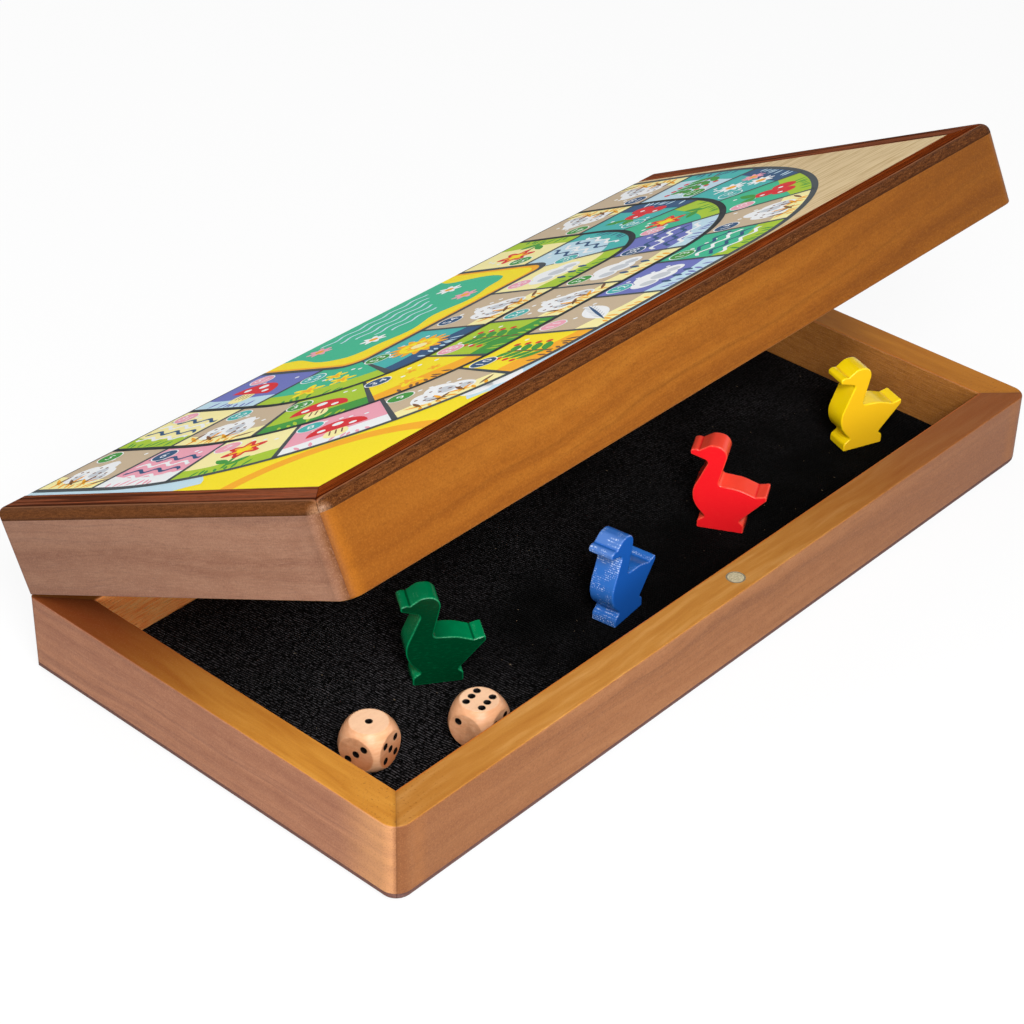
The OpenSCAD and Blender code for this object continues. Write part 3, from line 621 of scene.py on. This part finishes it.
def eased(count):
    """Steps from 0 to 1 over a number of cells, closer together at both ends."""
    ends = np.array([0, 0.02, 0.1, 0.3, 0.6])
    return np.concatenate([ends, np.linspace(1, count - 1, count - 10), count - ends[::-1]]) / count


def add_felt(half, lid):
    """Cloth lining: a grid over the tray's floor that swells by a tenth of a millimetre in slow waves and rolls down to
    the board at its edges, closed below by one face."""
    x0, x1 = -CASE_L / 2 + WALL_T + FELT_GAP, CASE_L / 2 - WALL_T - FELT_GAP
    y0, y1 = -CASE_W / 2 + WALL_T + FELT_GAP, CASE_W / 2 - HINGE_WALL_T - FELT_GAP
    roll, swell = 0.9, 0.06
    u, v = np.meshgrid(x0 + eased(150) * (x1 - x0), y0 + eased(72) * (y1 - y0))
    rim = np.minimum(np.minimum(u - x0, x1 - u), np.minimum(v - y0, y1 - v))
    edge = np.sqrt(np.clip(1 - (1 - np.clip(rim / roll, 0, 1)) ** 2, 0, 1))
    wave = swell * np.sin(u * 0.11 + 1.3 * np.sin(v * 0.07)) * np.sin(v * 0.13 + 0.8) - swell
    height = FELT_LOW + (FELT_TOP - FELT_LOW + wave) * (0.2 + 0.8 * edge) * (rim > 0)
    points = np.stack([u, v, height], -1).reshape(-1, 3)
    index = np.arange(u.size).reshape(u.shape)
    ring = np.concatenate([index[0], index[1:-1, -1], index[-1, ::-1], index[-2:0:-1, 0]])
    faces = grid_faces(*u.shape).tolist() + [ring[::-1].tolist()]
    if lid:
        points, faces = in_lid(points), [face[::-1] for face in faces]
    cloth = felt_cloth(half + "_cloth", lid)
    piece = add_piece(half + "_cloth", points, faces, half, cloth, [half + "_felt"])


# Print: plain flat shapes in the unfolded board's coordinates, x to the right and w up, with the fold at w = 0. The
# lid carries the half below the fold and the base the half above it.
PRINT_HALF = CASE_L / 2 - FRAME_W - PANEL_GAP
FACE_SINK, LAYER = 0.1, 0.015
TRACK_W, RING_FLAT = 30.4, 37.6
RINGS, LAST_SPACE = [(121.6, 28, 1), (91.2, 22, 29), (60.8, 14, 51)], 63
LINE, LINE_W, RING_LINE_W = srgb(60, 68, 72), 1.5, 2.3
BADGE_R, BADGE_RIM, BADGE_LEFT, BADGE_UP = 3.9, 0.4, 8.4, 9.2
DIGIT_H, DIGIT_STEP, STRIP_POINTS = 5.0, 2.9, 12
INKS = dict(
    tan=srgb(204, 182, 152), cream=srgb(255, 243, 172), lime=srgb(172, 204, 44), teal=srgb(66, 182, 178),
    sea=srgb(56, 186, 144), blue=srgb(108, 116, 190), yellow=srgb(253, 229, 24), pink=srgb(243, 166, 184),
    sky=srgb(198, 227, 240), white=srgb(247, 248, 249), red=srgb(220, 28, 40), orange=srgb(252, 176, 26),
    brown=srgb(122, 78, 42), green=srgb(58, 150, 54), navy=srgb(34, 78, 120), gray=srgb(206, 210, 216),
)
printed = {"lid": [], "base": []}


def stamp(points, faces, ink, layer, bare=0.0):
    """Adds flat faces to the half on which they lie, at a layer that decides what covers what."""
    color = INKS[ink] if isinstance(ink, str) else ink
    printed["base" if points[:, 1].mean() > 0 else "lid"].append((points, faces, color, layer, bare))


def ring_length(half):
    return 4 * (2 * RING_FLAT + (half - RING_FLAT) * math.pi / 2)


def ring_path(half, s):
    """Point and outward normal at length s along a square with rounded corners, from the middle of its right side:
    each quarter is a straight, a quarter arc and a straight, turned by right angles."""
    corner = half - RING_FLAT
    k, u = np.divmod(s, ring_length(half) / 4)
    a = np.clip((u - RING_FLAT) / corner, 0, math.pi / 2)
    past = np.maximum(u - RING_FLAT - corner * math.pi / 2, 0)
    x, y = RING_FLAT - past + corner * np.cos(a), np.minimum(u, RING_FLAT) + corner * np.sin(a)
    turn = k * math.pi / 2
    c, d = np.cos(turn), np.sin(turn)
    out = np.stack([np.cos(a + turn), np.sin(a + turn)], -1)
    return np.stack([c * x - d * y, d * x + c * y], -1), out


def strip(half, s0, s1, t0, t1, ink, layer):
    """Part of a ring between two lengths and two distances from its middle line; a distance may vary along it."""
    point, out = ring_path(half, np.linspace(s0, s1, STRIP_POINTS))
    inner, outer = point + np.reshape(t0, (-1, 1)) * out, point + np.reshape(t1, (-1, 1)) * out
    stamp(np.stack([inner, outer], 1).reshape(-1, 2), grid_faces(STRIP_POINTS, 2)[:, ::-1], ink, layer)


class Spot:
    """A small frame on the board, for motifs: its middle, and which way is up."""

    def __init__(self, middle, up):
        self.middle, self.up = np.array(middle, float), np.array(up, float)
        self.right = np.array([self.up[1], -self.up[0]])

    def shape(self, x, y, ink, layer, faces=None):
        """Flat shape through points in the spot's frame, as one face unless faces are given."""
        points = self.middle + np.outer(x, self.right) + np.outer(y, self.up)
        stamp(points, faces or [list(range(len(points)))], ink, layer)

    def bloom(self, x, y, radius, ink, layer, lobes=0, depth=0.0):
        """Closed curve whose radius swings with the angle: a disc, a flower or a star-like sun."""
        a = np.linspace(0, 2 * math.pi, 28 + 12 * lobes, endpoint=False)
        r = radius * (1 - depth + depth * np.cos(lobes * a))
        self.shape(x + r * np.sin(-a), y + r * np.cos(a), ink, layer)

    def egg(self, x, y, size, ink, layer):
        a = np.linspace(0, 2 * math.pi, 36, endpoint=False)
        self.shape(x - 0.74 * size * np.sin(a) * (1 - 0.16 * np.cos(a)), y + size * np.cos(a), ink, layer)

    def leaf(self, x, y, length, width, angle, ink, layer):
        """Lens between two arcs, from its foot at x, y out along an angle."""
        t = np.linspace(0, 1, 12)
        along = np.concatenate([t, t[-2:0:-1]]) * length
        bow = 4 * t * (1 - t)
        wide = np.concatenate([-bow, bow[-2:0:-1]]) * width / 2
        c, s = math.cos(angle), math.sin(angle)
        self.shape(x + along * c - wide * s, y + along * s + wide * c, ink, layer)

    def bar(self, x, y, width, height, ink, layer):
        self.shape(x + width / 2 * np.array([-1, 1, 1, -1]), y + height / 2 * np.array([-1, -1, 1, 1]), ink, layer)


def motif(spot, kind):
    """One of the plain pictures of the spaces."""
    bar, bloom, egg, leaf = spot.bar, spot.bloom, spot.egg, spot.leaf
    if kind == "eggs":
        for x, y, size in ((-5, -4, 6.2), (5.4, -4.6, 5.6), (0.6, -1, 7)):
            layer = 3 + (x > 0.2) * 0.3 + (size > 6.5) * 0.3
            egg(x, y, size, "white", layer)
            egg(x + 1.2, y - 1.6, size * 0.5, "gray", layer + 0.2)
            for k in range(4):
                bloom(x - 2.4 + 1.5 * k, y + (0.3 - k % 2 * 0.55) * size, 0.55, "brown", 3.9)
        for k in range(9):
            tilt = math.pi / 2 + 1.1 * math.sin(k * 2.1)
            leaf(-9 + 2.2 * k, -11.5, 7.5, 1.3, tilt, ("brown", "orange")[k % 2], 3.95)
    elif kind == "flower":
        bar(0, -6, 1.2, 12, "green", 3)
        leaf(0, -10, 8, 3, 0.7, "green", 3.1)
        leaf(0, -8, 8, 3, math.pi - 0.7, "green", 3.1)
        bloom(0, 3, 7, "red", 3.4, 6, 0.22)
        bloom(0, 3, 4.6, "orange", 3.5, 6, 0.3)
        bloom(0, 3, 2.4, "yellow", 3.7)
    elif kind == "daisies":
        for x, y, size, ink in ((-5, -4, 5, "white"), (5, -6, 4.4, "pink"), (2, 4, 5.4, "white")):
            bloom(x, y, size, ink, 3.2, 9, 0.2)
            bloom(x, y, size * 0.36, "orange", 3.5)
    elif kind == "sun":
        bloom(1, 0, 10, "orange", 3, 14, 0.16)
        bloom(1, 0, 6.4, "yellow", 3.4)
        bloom(1, 0, 4.6, "orange", 3.6, 9, 0.2)
        bloom(1, 0, 2.6, "cream", 3.8)
    elif kind == "stars":
        for x, y, size in ((-4, -5, 5.6), (6, -1, 4.6), (1, 5.6, 4)):
            bloom(x, y, size, "yellow", 3.2, 5, 0.3)
            bloom(x, y, size * 0.5, "orange", 3.5, 5, 0.3)
    elif kind == "sprig":
        bar(0, -2, 1, 20, "brown", 3)
        for k in range(4):
            for side in (0.7, math.pi - 0.7):
                leaf(0, -9 + 4.6 * k, 9 - k, 3.4, side, "green", 3.3)
                bloom(math.cos(side) * (9.6 - k), -9 + 4.6 * k + 6.4 - 0.6 * k, 1.1, "red", 3.5)
    elif kind == "cloud":
        for x, y, size in ((-6, 1, 4.4), (0, 3, 6), (6.4, 1, 4.2), (1, 0, 4.8)):
            bloom(x, y, size, "white", 3.2 + size * 0.01)
        for x, y, size in ((-5.6, 0, 2.6), (1, 0.6, 3.2), (6.4, 0, 2.2)):
            bloom(x, y, size, "gray", 3.4)
        for x in (-5, 0, 5):
            leaf(x, -5, 5, 2, -math.pi / 2 - 0.2, "navy", 3.6)
    elif kind == "toadstool":
        egg(0, -6, 5, "cream", 3)
        for x in (-1.8, 0, 1.8):
            bar(x, -5.6, 0.5, 4.4, "brown", 3.2)
        a = np.linspace(0, math.pi, 24)
        spot.shape(9 * np.cos(a), 9.4 * np.sin(a) - 3, "red", 3.4)
        for x, y, size in ((-4.6, 0, 1.3), (0, 3, 1.7), (4.6, -0.4, 1.2)):
            bloom(x, y, size, "white", 3.7)
    elif kind == "berries":
        for x, y in ((-4, -5), (3.6, -6), (0, 0.6)):
            bloom(x, y, 4, "red", 3.2 + (y + 6) * 0.03)
            bloom(x - 1.2, y + 1.3, 0.9, "white", 3.7)
        leaf(0, 4, 9, 4, 0.5, "green", 3.5)
        leaf(0, 4, 8, 4, math.pi - 0.8, "green", 3.5)
    elif kind == "waves":
        x = np.linspace(-12, 12, 36)
        for k, ink in enumerate(("white", "navy", "white", "navy")):
            low = -8 + 4.4 * k + 1.2 * np.sin(x * 0.75 + k)
            spot.shape(np.concatenate([x, x[::-1]]), np.concatenate([low, (low + 1.5)[::-1]]), ink, 3.2)
    elif kind == "plume":
        leaf(-6, -9, 22, 8, 0.95, "white", 3.2)
        leaf(-7.4, -11, 25, 1, 0.95, "navy", 3.5)
        for k in range(7):
            for side in (0.45, -0.45):
                leaf(-4.6 + 1.5 * k, -7 + 2.1 * k, 4, 0.6, 0.95 + side, "gray", 3.4)


def scatter(spot, number, ink):
    """Small blades along a space's lower edge and dots above them, at places that step on by a share of its width."""
    for k in range(7):
        x = -11 + 22 * ((k * 0.618 + number * 0.37) % 1)
        spot.leaf(x, -14, 3.4 + k % 3, 1.2, math.pi / 2 + 0.4 * math.sin(k * 2.4 + number), ink, 2.6)
    for k in range(5):
        x, y = -10 + 20 * ((k * 0.618 + number * 0.21) % 1), 2 + 9 * ((k * 0.382 + number * 0.57) % 1)
        spot.bloom(x, y, 0.75, "white", 2.6)


def digit_shapes():
    """Outlines of the ten digits, each as points with its middle at the origin and a height of about one."""
    shapes = []
    for digit in "0123456789":
        text = bpy.data.curves.new("digit", "FONT")
        text.body = digit
        text.resolution_u = 3
        holder = bpy.data.objects.new("digit", text)
        bpy.context.scene.collection.objects.link(holder)
        bpy.context.view_layer.update()
        mesh = bpy.data.meshes.new_from_object(holder.evaluated_get(bpy.context.evaluated_depsgraph_get()))
        flat = np.zeros(len(mesh.vertices) * 3)
        mesh.vertices.foreach_get("co", flat)
        points = flat.reshape(-1, 3)[:, :2]
        shapes.append((points - (points.min(0) + points.max(0)) / 2, [list(p.vertices) for p in mesh.polygons]))
        bpy.data.objects.remove(holder)
        bpy.data.curves.remove(text)
        bpy.data.meshes.remove(mesh)
    return shapes


def draw_track():
    """Three rounded-square rings of numbered spaces, each with a ground, a motif, dark lines round it and a badge."""
    digits = digit_shapes()
    below = dict(
        tan="cream", lime="green", cream="lime", teal="navy", blue="sky", yellow="orange", pink="white", sky="teal",
        sea="lime",
    )
    grounds = list(below)
    blades = dict(
        cream="orange", green="lime", lime="green", navy="sky", sky="blue", orange="brown", white="pink", teal="navy"
    )
    kinds = ["flower", "sun", "sprig", "waves", "stars", "daisies", "cloud", "toadstool", "berries", "plume"]
    badges = ["teal", "green", "navy", "pink"]
    half_w = TRACK_W / 2
    for half, count, first in RINGS:
        pitch = ring_length(half) / count
        for k in range(count):
            number = (k + count * 3 // 4 - 3) % count + first
            s0, s1 = k * pitch, (k + 1) * pitch
            egg_space = number % 9 in (0, 5)
            ground = "tan" if egg_space else grounds[(number * 4 + number // 7) % len(grounds)]
            strip(half, s0, s1, -half_w, half_w, ground, 1)
            hill = half_w * (0.42 + 0.1 * np.sin(np.linspace(0, 4, STRIP_POINTS) + number))
            strip(half, s0, s1, hill, half_w, below[ground], 2)
            middle, out = ring_path(half, np.array([(s0 + s1) / 2]))
            spot = Spot(middle[0], -out[0])
            kind = "eggs" if egg_space else kinds[(number * 7 + number // 5) % len(kinds)]
            motif(spot, kind)
            scatter(spot, number, blades[below[ground]])
            for low, high in ((s0, s0 + LINE_W / 2), (s1 - LINE_W / 2, s1)):
                strip(half, low, high, -half_w, half_w, LINE, 4)
            for away in (-half_w, half_w):
                strip(half, s0, s1, away - RING_LINE_W / 2, away + RING_LINE_W / 2, LINE, 4)
            if number > LAST_SPACE:
                continue
            badge = Spot(spot.middle - BADGE_LEFT * spot.right + BADGE_UP * spot.up, spot.up)
            badge.bloom(0, 0, BADGE_R + BADGE_RIM, "white", 4.3)
            badge.bloom(0, 0, BADGE_R, badges[number % 4], 4.5)
            label = str(number)
            for place, digit in enumerate(label):
                points, faces = digits[int(digit)]
                x, y = points.T * DIGIT_H
                badge.shape(x + (place - (len(label) - 1) / 2) * DIGIT_STEP, y, "white", 4.8, faces)


def draw_ground():
    """Corners outside the rings and the pond inside them: sky with a sun at the left, bare wood at the right."""
    edge, pond = PRINT_HALF, RINGS[-1][0] - TRACK_W / 2
    point, _ = ring_path(pond, np.linspace(0, ring_length(pond), 96, endpoint=False))
    ripple = 0.05 * np.sin(9 * np.arctan2(point[:, 1], point[:, 0]))
    for side in (-1, 1):
        off_fold = np.array([0, side * 1e-6])
        for x0, x1, bare in ((-edge, 0, 0.0), (0, edge, 1.0)):
            corners = np.array([(x0, 0), (x1, 0), (x1, side * edge), (x0, side * edge)])
            stamp(corners + off_fold, [[0, 1, 2, 3][::side]], "sky", 0.2, bare)
        t = np.linspace(0, math.pi / 2, 40)
        for radius, ink, layer in ((62, "yellow", 0.4), (44, "orange", 0.6), (38, "yellow", 0.8)):
            swing = radius * (1 + (radius > 60) * 0.06 * np.cos(t * 36))
            arc = np.stack([-edge + swing * np.cos(t), side * (edge - swing * np.sin(t))], -1)
            points = np.concatenate([[(-edge, side * edge)], arc])
            stamp(points, [list(range(len(points)))[::-side]], ink, layer)
        for x, w, size in ((-74, 131, 5), (-66, 133, 6.4), (-58, 131, 4.6)):
            Spot((x, side * w), (0, 1)).bloom(0, 0, size, "white", 0.5)
        for scale, ink, layer in ((1.0, "orange", 1.0), (0.94, "yellow", 1.2), (0.8, "sea", 1.6)):
            shore = point * scale * (1 + (scale < 0.9) * ripple)[:, None]
            shore[:, 1] = side * np.maximum(side * shore[:, 1], 0)
            stamp(shore + off_fold, [list(range(len(shore)))], ink, layer)
        for k in range(5):
            x = np.linspace(-24 + 3 * k, 24 - 4 * k, 30)
            low = 5 + 5.4 * k + 0.8 * np.sin(x * 0.6 + k)
            points = np.stack([np.concatenate([x, x[::-1]]), side * np.concatenate([low, (low + 1.1)[::-1]])], -1)
            stamp(points, [list(range(len(points)))[::side]], "sky", 2)
        for x, w, ink in ((-28, 9, "pink"), (27, 14, "white"), (-20, 27, "white"), (19, 30, "pink")):
            flower = Spot((x, side * w), (0, 1))
            flower.bloom(0, 0, 4.6, ink, 2.4, 7, 0.2)
            flower.bloom(0, 0, 1.6, "orange", 2.7)


def add_print(half, lid):
    """The printed panel: a board with slightly rounded edges just inside the frame's face, and the print's flat shapes
    laid over it in layers of some hundredths of a millimetre."""
    x, y0, y1, radius = PRINT_HALF, -CASE_W / 2 + FRAME_W + PANEL_GAP, CASE_W / 2, 0.3
    outline = [(-x, y0, radius), (x, y0, radius), (x, y1, radius), (-x, y1, radius)]
    points, faces, normals = plate(outline, FACE_SINK, FRAME_T, edge=0.2, steps=4)
    if lid:
        points, faces = in_lid(points), [face[::-1] for face in faces]
        normals = in_lid(normals) - in_lid(np.zeros((1, 3)))
    core = panel_core(half + "_print_core", lid)
    add_piece(half + "_print_board", points, faces, half, core, [half + "_print_panel"], normals)
    corners, loops, inks, bares, start = [], [], [], [], 0
    for flat, shapes, ink, layer, bare in printed[half]:
        y = CASE_W / 2 - np.abs(flat[:, 1])
        corners.append(np.stack([flat[:, 0], y, np.full(len(flat), FACE_SINK - LAYER * (layer + 0.2))], -1))
        for face in shapes:
            loops.append((np.asarray(face) + start).tolist())
            inks += [ink] * len(face)
            bares += [bare] * len(face)
        start += len(flat)
    corners = np.concatenate(corners)
    corners = in_lid(corners) if lid else corners
    varnish = printed_varnish(half + "_print", lid)
    piece = add_piece(half + "_print", corners, loops, half, varnish, flat=True)
    attributes = piece.data.attributes
    attributes.new("ink", "FLOAT_COLOR", "CORNER").data.foreach_set("color", np.array(inks, np.float32).ravel())
    attributes.new("bare", "FLOAT", "CORNER").data.foreach_set("value", np.array(bares, np.float32))


HALVES = (False, "base"), (True, "lid")

# Materials on the CAD nodes
# Wall tones: three bands, a darker streak tone, a fleck tone, and a sixth that darkens the front and hinge walls
# towards their right ends as painted shade.
rose = palette((145, 95, 71), (165, 112, 83), (181, 128, 97), (113, 75, 64), (196, 144, 112), (133, 91, 72))
umber = palette((134, 85, 52), (151, 99, 63), (165, 112, 73), (105, 67, 47), (177, 125, 86), (133, 89, 68))
mauve = palette((129, 86, 65), (145, 103, 80), (159, 117, 94), (101, 71, 61), (181, 139, 114), (123, 85, 65))
honey = palette((122, 67, 18), (140, 81, 23), (153, 94, 30), (98, 53, 14), (166, 106, 38), (112, 64, 22))
# Rim tones of each wall; the fourth is the painted shade of the rim.
left_gold = palette((180, 114, 34), (197, 133, 47), (208, 146, 58), (104, 36, 8))
front_gold = palette((178, 116, 48), (190, 130, 58), (204, 148, 80), (110, 34, 0))
right_gold = palette((168, 101, 18), (180, 112, 24), (191, 123, 32), (120, 66, 18))
oak = palette((138, 86, 34), (158, 101, 43), (174, 116, 54))
# Tones of the inner faces; those of the hinge wall are lighter, as painted light.
amber_painted_light = palette((246, 118, 54), (255, 158, 82), (255, 182, 110))
for lid, half in HALVES:
    flank = mauve if lid else rose
    plain = ((flank[1], 0.2, 0.0, 8.0),)
    # Corner tones as tone, share, distance from the mitre and reach; the lighter ones are a painted highlight on the
    # rounded corner.
    if lid:
        front_corner = (srgb(150, 89, 24), 0.6, 3.4, 4.4), (srgb(122, 68, 14), 0.8, 0.0, 2.4)
        left_corner = (srgb(100, 62, 38), 0.28, 5.0, 5.0), (srgb(96, 55, 18), 0.92, 0.0, 4.6)
    else:
        front_corner = (srgb(118, 70, 42), 0.6, 2.4, 3.6), (srgb(166, 106, 58), 0.4, 8.0, 5.0)
        left_corner = (srgb(220, 160, 104), 0.66, 6.0, 18.0), (srgb(150, 92, 54), 0.5, 0.0, 2.0)
    walls = (
        ("front", honey if lid else umber, front_corner, front_gold, oak),
        ("hinge", flank, plain, left_gold, amber_painted_light),
        ("left", flank, left_corner, left_gold, oak),
        ("right", flank, plain, right_gold, oak),
    )
    for k, (wall, tones, corner, gold, inside) in enumerate(walls):
        node, seed = f"{half}_{wall}_wall", 13.0 * k + 47.0 * lid + 5.0
        dress(node, case_wood(node + "_wood", lid, wall, seed, tones, corner, gold, inside))
    for k, (part, along) in enumerate((("frame_front", "x"), ("frame_left", "y"), ("frame_right", "y"))):
        dress(f"{half}_{part}", frame_wood(f"{half}_{part}_wood", lid, along, 7.0 * k + 31.0 * lid))
    dress(f"{half}_backing_board", panel_core(f"{half}_backing", lid))
    nickel = metal(f"{half}_magnet_nickel", lid, srgb(188, 172, 134), srgb(222, 210, 176), 0.2, True)
    dress(f"{half}_magnet", nickel)
    brass = metal(f"{half}_hinge_brass", lid, srgb(168, 130, 62), srgb(222, 184, 104), 1.0)
    for part in ("leaf_left", "leaf_right", "screws"):
        dress(f"{half}_{part}", brass)
dress("hinge_pins", metal("hinge_pin_steel", False, srgb(130, 128, 124), srgb(190, 188, 184), 1.0))

# Pieces that stand for CAD nodes
birch = die_birch()
for lid, half in HALVES:
    add_felt(half, lid)
# Colours: face, edge and pale. Faces darker than edges are painted shade; pale serves the painted glints and edge
# highlight, the share after it scales the glints, and green's last number is a painted shadow on its back.
add_goose("green", (-78.3, -19.9, -35), srgb(0, 50, 26), srgb(0, 134, 80), srgb(112, 206, 164), 0.25, 0.75)
add_goose("blue", (-17.9, -38.6, 7), srgb(28, 92, 182), srgb(32, 98, 180), srgb(206, 222, 246), 0.95)
add_goose("red", (41.7, -32.3, -62), srgb(238, 28, 36), srgb(250, 76, 56), srgb(252, 146, 122), 0.2)
add_goose("yellow", (111.5, -34.5, -21), srgb(248, 194, 30), srgb(255, 218, 8), srgb(255, 236, 110), 0.15)
add_die("die_left", (-119.2, -33.2, 13), np.eye(3))
add_die("die_right", (-90.8, -48.8, 11), np.array(Matrix.Rotation(math.pi, 3, (1, -1, 0))))
draw_ground()
draw_track()
for lid, half in HALVES:
    add_print(half, lid)

# Floor, light and camera
FLOOR_REACH, FLOOR_Z, FLOOR_GRAYS, FLOOR_GLOW = 6.0, -0.0003, (0.5, 0.9), 0.88
WHITE = (1, 1, 1, 1)


def add_floor():
    """A wide pale floor: to the camera, mirrors and glass it is almost white and keeps the shadow; to other light it is
    a plain gray surface."""
    f = Finish("pale_floor")
    mesh = bpy.data.meshes.new("floor")
    t = np.linspace(-FLOOR_REACH, FLOOR_REACH, 5)
    u, v = np.meshgrid(t, t)
    points = np.stack([u, v, np.full_like(u, FLOOR_Z)], -1).reshape(-1, 3)
    mesh.from_pydata(points.tolist(), [], grid_faces(5, 5).tolist())
    direct = f.seen()
    bounce, matte = (f.node("BsdfDiffuse", {}, {"Color": (c, c, c, 1)}) for c in FLOOR_GRAYS)
    white = f.node("Emission", {}, {"Color": WHITE, "Strength": 1.0})
    plain = f.node("MixShader", {}, {0: direct, 1: bounce, 2: matte})
    shader = f.node("MixShader", {}, {0: direct * FLOOR_GLOW, 1: plain, 2: white})
    f.node("OutputMaterial", {}, {"Surface": shader})
    mesh.materials.append(f.owner)
    floor = bpy.data.objects.new("floor", mesh)
    bpy.context.scene.collection.objects.link(floor)


def add_light(name, place, size, power, target=(0, 0, 0.03)):
    """A round lamp that looks from its place at a target; metres and watts."""
    light = bpy.data.lights.new(name, "AREA")
    light.shape, light.size, light.energy = "DISK", size, power
    holder = bpy.data.objects.new(name, light)
    toward = Matrix.Translation(np.subtract(place, target)).translation
    holder.matrix_world = Matrix.Translation(place) @ toward.to_track_quat("Z", "Y").to_matrix().to_4x4()
    bpy.context.scene.collection.objects.link(holder)


def add_world(level):
    """Even studio surroundings; the camera, mirrors and glass see plain white."""
    f = Finish("studio", bpy.data.worlds)
    soft, white = (f.node("Background", {}, {"Color": WHITE, "Strength": s}) for s in (level, 1.0))
    shader = f.node("MixShader", {}, {0: f.seen(), 1: soft, 2: white})
    f.node("OutputWorld", {}, {"Surface": shader})
    bpy.context.scene.world = f.owner


add_floor()
add_world(0.3)
add_light("key", (-0.45, -0.54, 0.65), 0.4, 8.7)
add_light("fill", (-0.8, -0.85, 0.33), 0.5, 5.7)
add_light("top", (0.1, 0.65, 1.0), 0.6, 3.4, (0, 0, 0.1))

camera = bpy.data.cameras.new("camera")
camera.lens, camera.sensor_width, camera.clip_start, camera.clip_end = 88.979, 36.0, 0.01, 50.0
viewer = bpy.data.objects.new("camera", camera)
viewer.matrix_world = Matrix(
    (
        (0.67135321, 0.40853833, -0.61836987, -0.50396804),
        (-0.74085315, 0.39304088, -0.54466088, -0.42320924),
        (0.02052979, 0.82378110, 0.56653616, 0.46954744),
        (0, 0, 0, 1),
    )
)
bpy.context.scene.collection.objects.link(viewer)
bpy.context.scene.camera = viewer
bpy.context.scene.view_settings.view_transform = "Standard"

bpy.context.view_layer.update()
